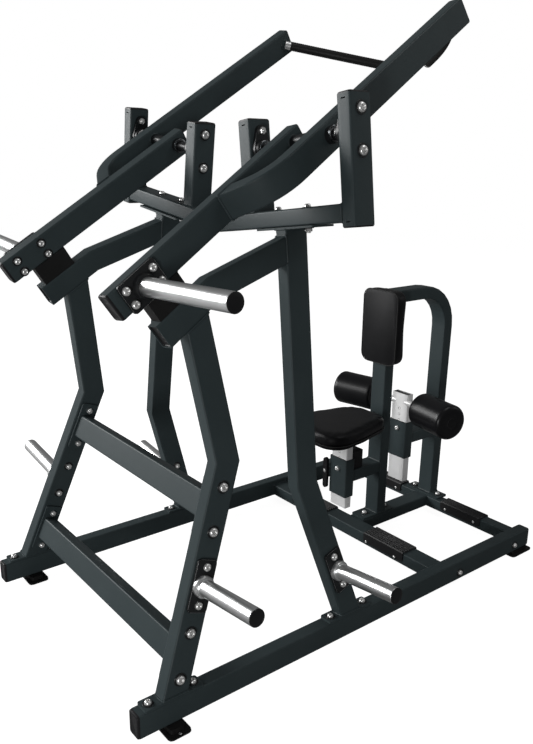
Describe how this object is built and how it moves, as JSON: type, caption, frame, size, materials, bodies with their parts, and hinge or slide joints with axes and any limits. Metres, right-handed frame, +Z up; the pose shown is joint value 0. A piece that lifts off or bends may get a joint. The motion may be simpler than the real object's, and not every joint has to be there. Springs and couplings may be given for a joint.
{
  "type": "lat pulldown machine",
  "caption": "Plate-loaded seated lat pulldown machine with a pivoted lever on each side, thigh rollers, a chest pad and weight horns.",
  "frame": {"origin": "on the floor, under the middle of the base rails", "axes": "+X to the right side of someone standing behind the weight horns and facing the seat, +Y from the weight horns to the seat, +Z up"},
  "size_m": [1.5182, 1.823, 2.0097],
  "materials": {
    "powder_coat": "satin",
    "black_plastic": "moulded",
    "rubber": "matte",
    "vinyl": "grained",
    "foam": "smooth",
    "chrome": "polished",
    "plated_steel": "satin",
    "black_steel": "satin"
  },
  "bodies": {
    "frame": {"base_rail_left": "powder_coat", "base_rail_right": "powder_coat", "brace_lower": "powder_coat", "brace_upper": "powder_coat", "bumper_left": "rubber", "bumper_right": "rubber", "centre_spine": "powder_coat", "chest_pad": "vinyl", "cross_tube_front": "powder_coat", "cross_tube_rear": "powder_coat", "crossbeam": "powder_coat", "foot_front_left": "rubber", "foot_front_right": "rubber", "foot_rear_left": "rubber", "foot_rear_right": "rubber", "foot_tread_front_left": "black_plastic", "foot_tread_front_right": "black_plastic", "foot_tread_rear_left": "black_plastic", "foot_tread_rear_right": "black_plastic", "front_upright_left": "powder_coat", "front_upright_right": "powder_coat", "pad_post": "powder_coat", "pivot_bearing_inner_left": "black_steel", "pivot_bearing_inner_right": "black_steel", "pivot_bearing_outer_left": "black_steel", "pivot_bearing_outer_right": "black_steel", "pivot_bracket_inner_left": "powder_coat", "pivot_bracket_inner_right": "powder_coat", "pivot_bracket_outer_left": "powder_coat", "pivot_bracket_outer_right": "powder_coat", "rear_arch": "powder_coat", "rear_post_left": "powder_coat", "rear_post_right": "powder_coat", "roller_sleeve": "powder_coat", "seat_lock_housing": "black_plastic", "seat_sleeve": "powder_coat", "storage_peg_front_left": "chrome", "storage_peg_front_right": "chrome", "storage_peg_rear_left": "chrome", "storage_peg_rear_right": "chrome", "top_tube_left": "powder_coat", "top_tube_right": "powder_coat"},
    "lever_right": {"weight_arm_right": "powder_coat", "handle_arm_right": "powder_coat", "pivot_shaft_right": "plated_steel", "weight_horn_right": "chrome", "pull_handle_right": "rubber"},
    "lever_left": {"weight_arm_left": "powder_coat", "handle_arm_left": "powder_coat", "pivot_shaft_left": "plated_steel", "weight_horn_left": "chrome", "pull_handle_left": "rubber"},
    "seat": {"seat_post": "plated_steel", "seat_pad": "vinyl"},
    "seat_release": {"seat_release_lever": "black_plastic"},
    "roller_carriage": {"roller_post": "plated_steel", "roller_axle": "plated_steel"},
    "roller_right": {"thigh_roller_right": "foam"},
    "roller_left": {"thigh_roller_left": "foam"},
    "roller_release": {"roller_release_lever": "black_plastic"}
  },
  "joints": [
    {"name": "right_lever_hinge", "type": "hinge", "parent": "frame", "child": "lever_right", "pos_m": [0.31193, -0.2405, 1.58039], "axis": [-0.9922, 0, -0.1243], "range_deg": [0, 50]},
    {"name": "left_lever_hinge", "type": "hinge", "parent": "frame", "child": "lever_left", "pos_m": [-0.31193, -0.2405, 1.58039], "axis": [-0.9922, 0, 0.1243], "range_deg": [0, 50]},
    {"name": "seat_height", "type": "slide", "parent": "frame", "child": "seat", "axis": [0, 0, 1], "range_m": [-0.06, 0.1]},
    {"name": "roller_height", "type": "slide", "parent": "frame", "child": "roller_carriage", "axis": [0, 0, 1], "range_m": [-0.06, 0.1]},
    {"name": "right_roller_spin", "type": "hinge", "parent": "roller_carriage", "child": "roller_right", "pos_m": [0, 0.677, 0.551], "axis": [0.9806, -0.1959, 0], "continuous": true},
    {"name": "left_roller_spin", "type": "hinge", "parent": "roller_carriage", "child": "roller_left", "pos_m": [0, 0.677, 0.551], "axis": [-0.9806, -0.1959, 0], "continuous": true},
    {"name": "seat_release_hinge", "type": "hinge", "parent": "frame", "child": "seat_release", "pos_m": [-0.063, 0.3032, 0.305], "axis": [0, 1, 0], "range_deg": [-12, 12], "stiffness_Nm_per_rad": 0.6},
    {"name": "roller_release_hinge", "type": "hinge", "parent": "frame", "child": "roller_release", "pos_m": [-0.063, 0.6472, 0.393], "axis": [0, 1, 0], "range_deg": [-12, 12], "stiffness_Nm_per_rad": 0.6}
  ]
}
